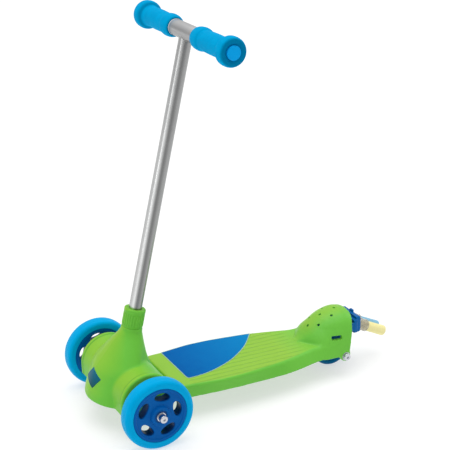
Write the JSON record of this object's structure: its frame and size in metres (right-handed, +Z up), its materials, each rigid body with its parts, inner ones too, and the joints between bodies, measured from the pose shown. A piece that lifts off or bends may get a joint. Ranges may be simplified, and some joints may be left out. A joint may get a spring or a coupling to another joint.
{
  "type": "three wheel kids scooter",
  "caption": "Child's lean-and-turn kick scooter with a raked T-bar, a moulded deck with an inlay, a rear fender over the rear wheel and a tilting chalk holder.",
  "frame": {"origin": "centre of the bounding box's footprint, on the ground plane under the wheels", "axes": "+Z up, -Y forward, +X to the rider's left"},
  "size_m": [0.3356, 0.6122, 0.6979],
  "materials": {
    "green_plastic": "semi-gloss moulded",
    "azure_tyre": "satin cast urethane",
    "blue_tyre": "satin cast urethane",
    "blue_plastic": "semi-gloss moulded",
    "blue_badge": "smooth",
    "azure_plastic": "fine satin",
    "azure_foam": "matt foam",
    "blue_film": "smooth printed film",
    "satin_tube": "satin",
    "white_nylon": "natural",
    "clear_sleeve": "frosted clear",
    "yellow_chalk": "dusty",
    "blue_chalk": "dusty",
    "aluminium_turned": "turned",
    "bright_steel": "bright zinc"
  },
  "bodies": {
    "chassis": {"steering_bush": "white_nylon", "rear_bearing_spacer": "aluminium_turned", "rear_inner_sleeve_left": "aluminium_turned", "rear_inner_sleeve_right": "aluminium_turned", "rear_outer_sleeve_left": "aluminium_turned", "rear_outer_sleeve_right": "aluminium_turned", "rear_axle_washer_left": "bright_steel", "rear_axle_washer_right": "bright_steel", "rear_axle_bolt": "bright_steel", "rear_axle_nut": "bright_steel", "deck_chassis": "green_plastic", "deck_inlay": "blue_film"},
    "front": {"crossbar": "satin_tube", "grip_left": "azure_foam", "grip_end_plug_left": "azure_plastic", "grip_right": "azure_foam", "grip_end_plug_right": "azure_plastic", "locking_collar": "green_plastic", "stem_tube": "satin_tube", "kingpin_washer": "bright_steel", "kingpin": "bright_steel", "kingpin_nut": "bright_steel", "nose_badge": "blue_badge", "front_housing": "green_plastic", "front_bearing_spacer_left": "aluminium_turned", "front_axle_washer_left": "bright_steel", "front_axle_sleeve_left": "aluminium_turned", "front_axle_bolt_left": "bright_steel", "front_axle_nut_left": "bright_steel", "front_bearing_spacer_right": "aluminium_turned", "front_axle_washer_right": "bright_steel", "front_axle_sleeve_right": "aluminium_turned", "front_axle_bolt_right": "bright_steel", "front_axle_nut_right": "bright_steel"},
    "front_left_wheel": {"front_tyre_left": "azure_tyre", "front_hub_left": "blue_plastic", "front_bearing_outer_left": "bright_steel", "front_bearing_inner_left": "bright_steel"},
    "front_right_wheel": {"front_tyre_right": "azure_tyre", "front_hub_right": "blue_plastic", "front_bearing_outer_right": "bright_steel", "front_bearing_inner_right": "bright_steel"},
    "rear_wheel": {"rear_tyre": "blue_tyre", "rear_hub": "blue_plastic", "rear_bearing_left": "bright_steel", "rear_bearing_right": "bright_steel"},
    "chalk_holder": {"chalk_holder": "blue_plastic", "chalk_left": "yellow_chalk", "chalk_sleeve_left": "clear_sleeve", "chalk_right": "blue_chalk", "chalk_sleeve_right": "clear_sleeve"}
  },
  "joints": [
    {"name": "steering", "type": "hinge", "parent": "chassis", "child": "front", "pos_m": [0, -0.24125, 0.0635], "axis": [0, 0.2151, 0.9766], "range_deg": [-10, 10]},
    {"name": "front_left_wheel_spin", "type": "hinge", "parent": "front", "child": "front_left_wheel", "pos_m": [0.1312, -0.23205, 0.0635], "axis": [1, 0, 0], "continuous": true},
    {"name": "front_right_wheel_spin", "type": "hinge", "parent": "front", "child": "front_right_wheel", "pos_m": [-0.1312, -0.23205, 0.0635], "axis": [1, 0, 0], "continuous": true},
    {"name": "rear_wheel_spin", "type": "hinge", "parent": "chassis", "child": "rear_wheel", "pos_m": [0, 0.18795, 0.04], "axis": [1, 0, 0], "continuous": true},
    {"name": "chalk_holder_tilt", "type": "hinge", "parent": "chassis", "child": "chalk_holder", "pos_m": [0, 0.18795, 0.04], "axis": [-1, 0, 0], "range_deg": [0, 18]}
  ]
}
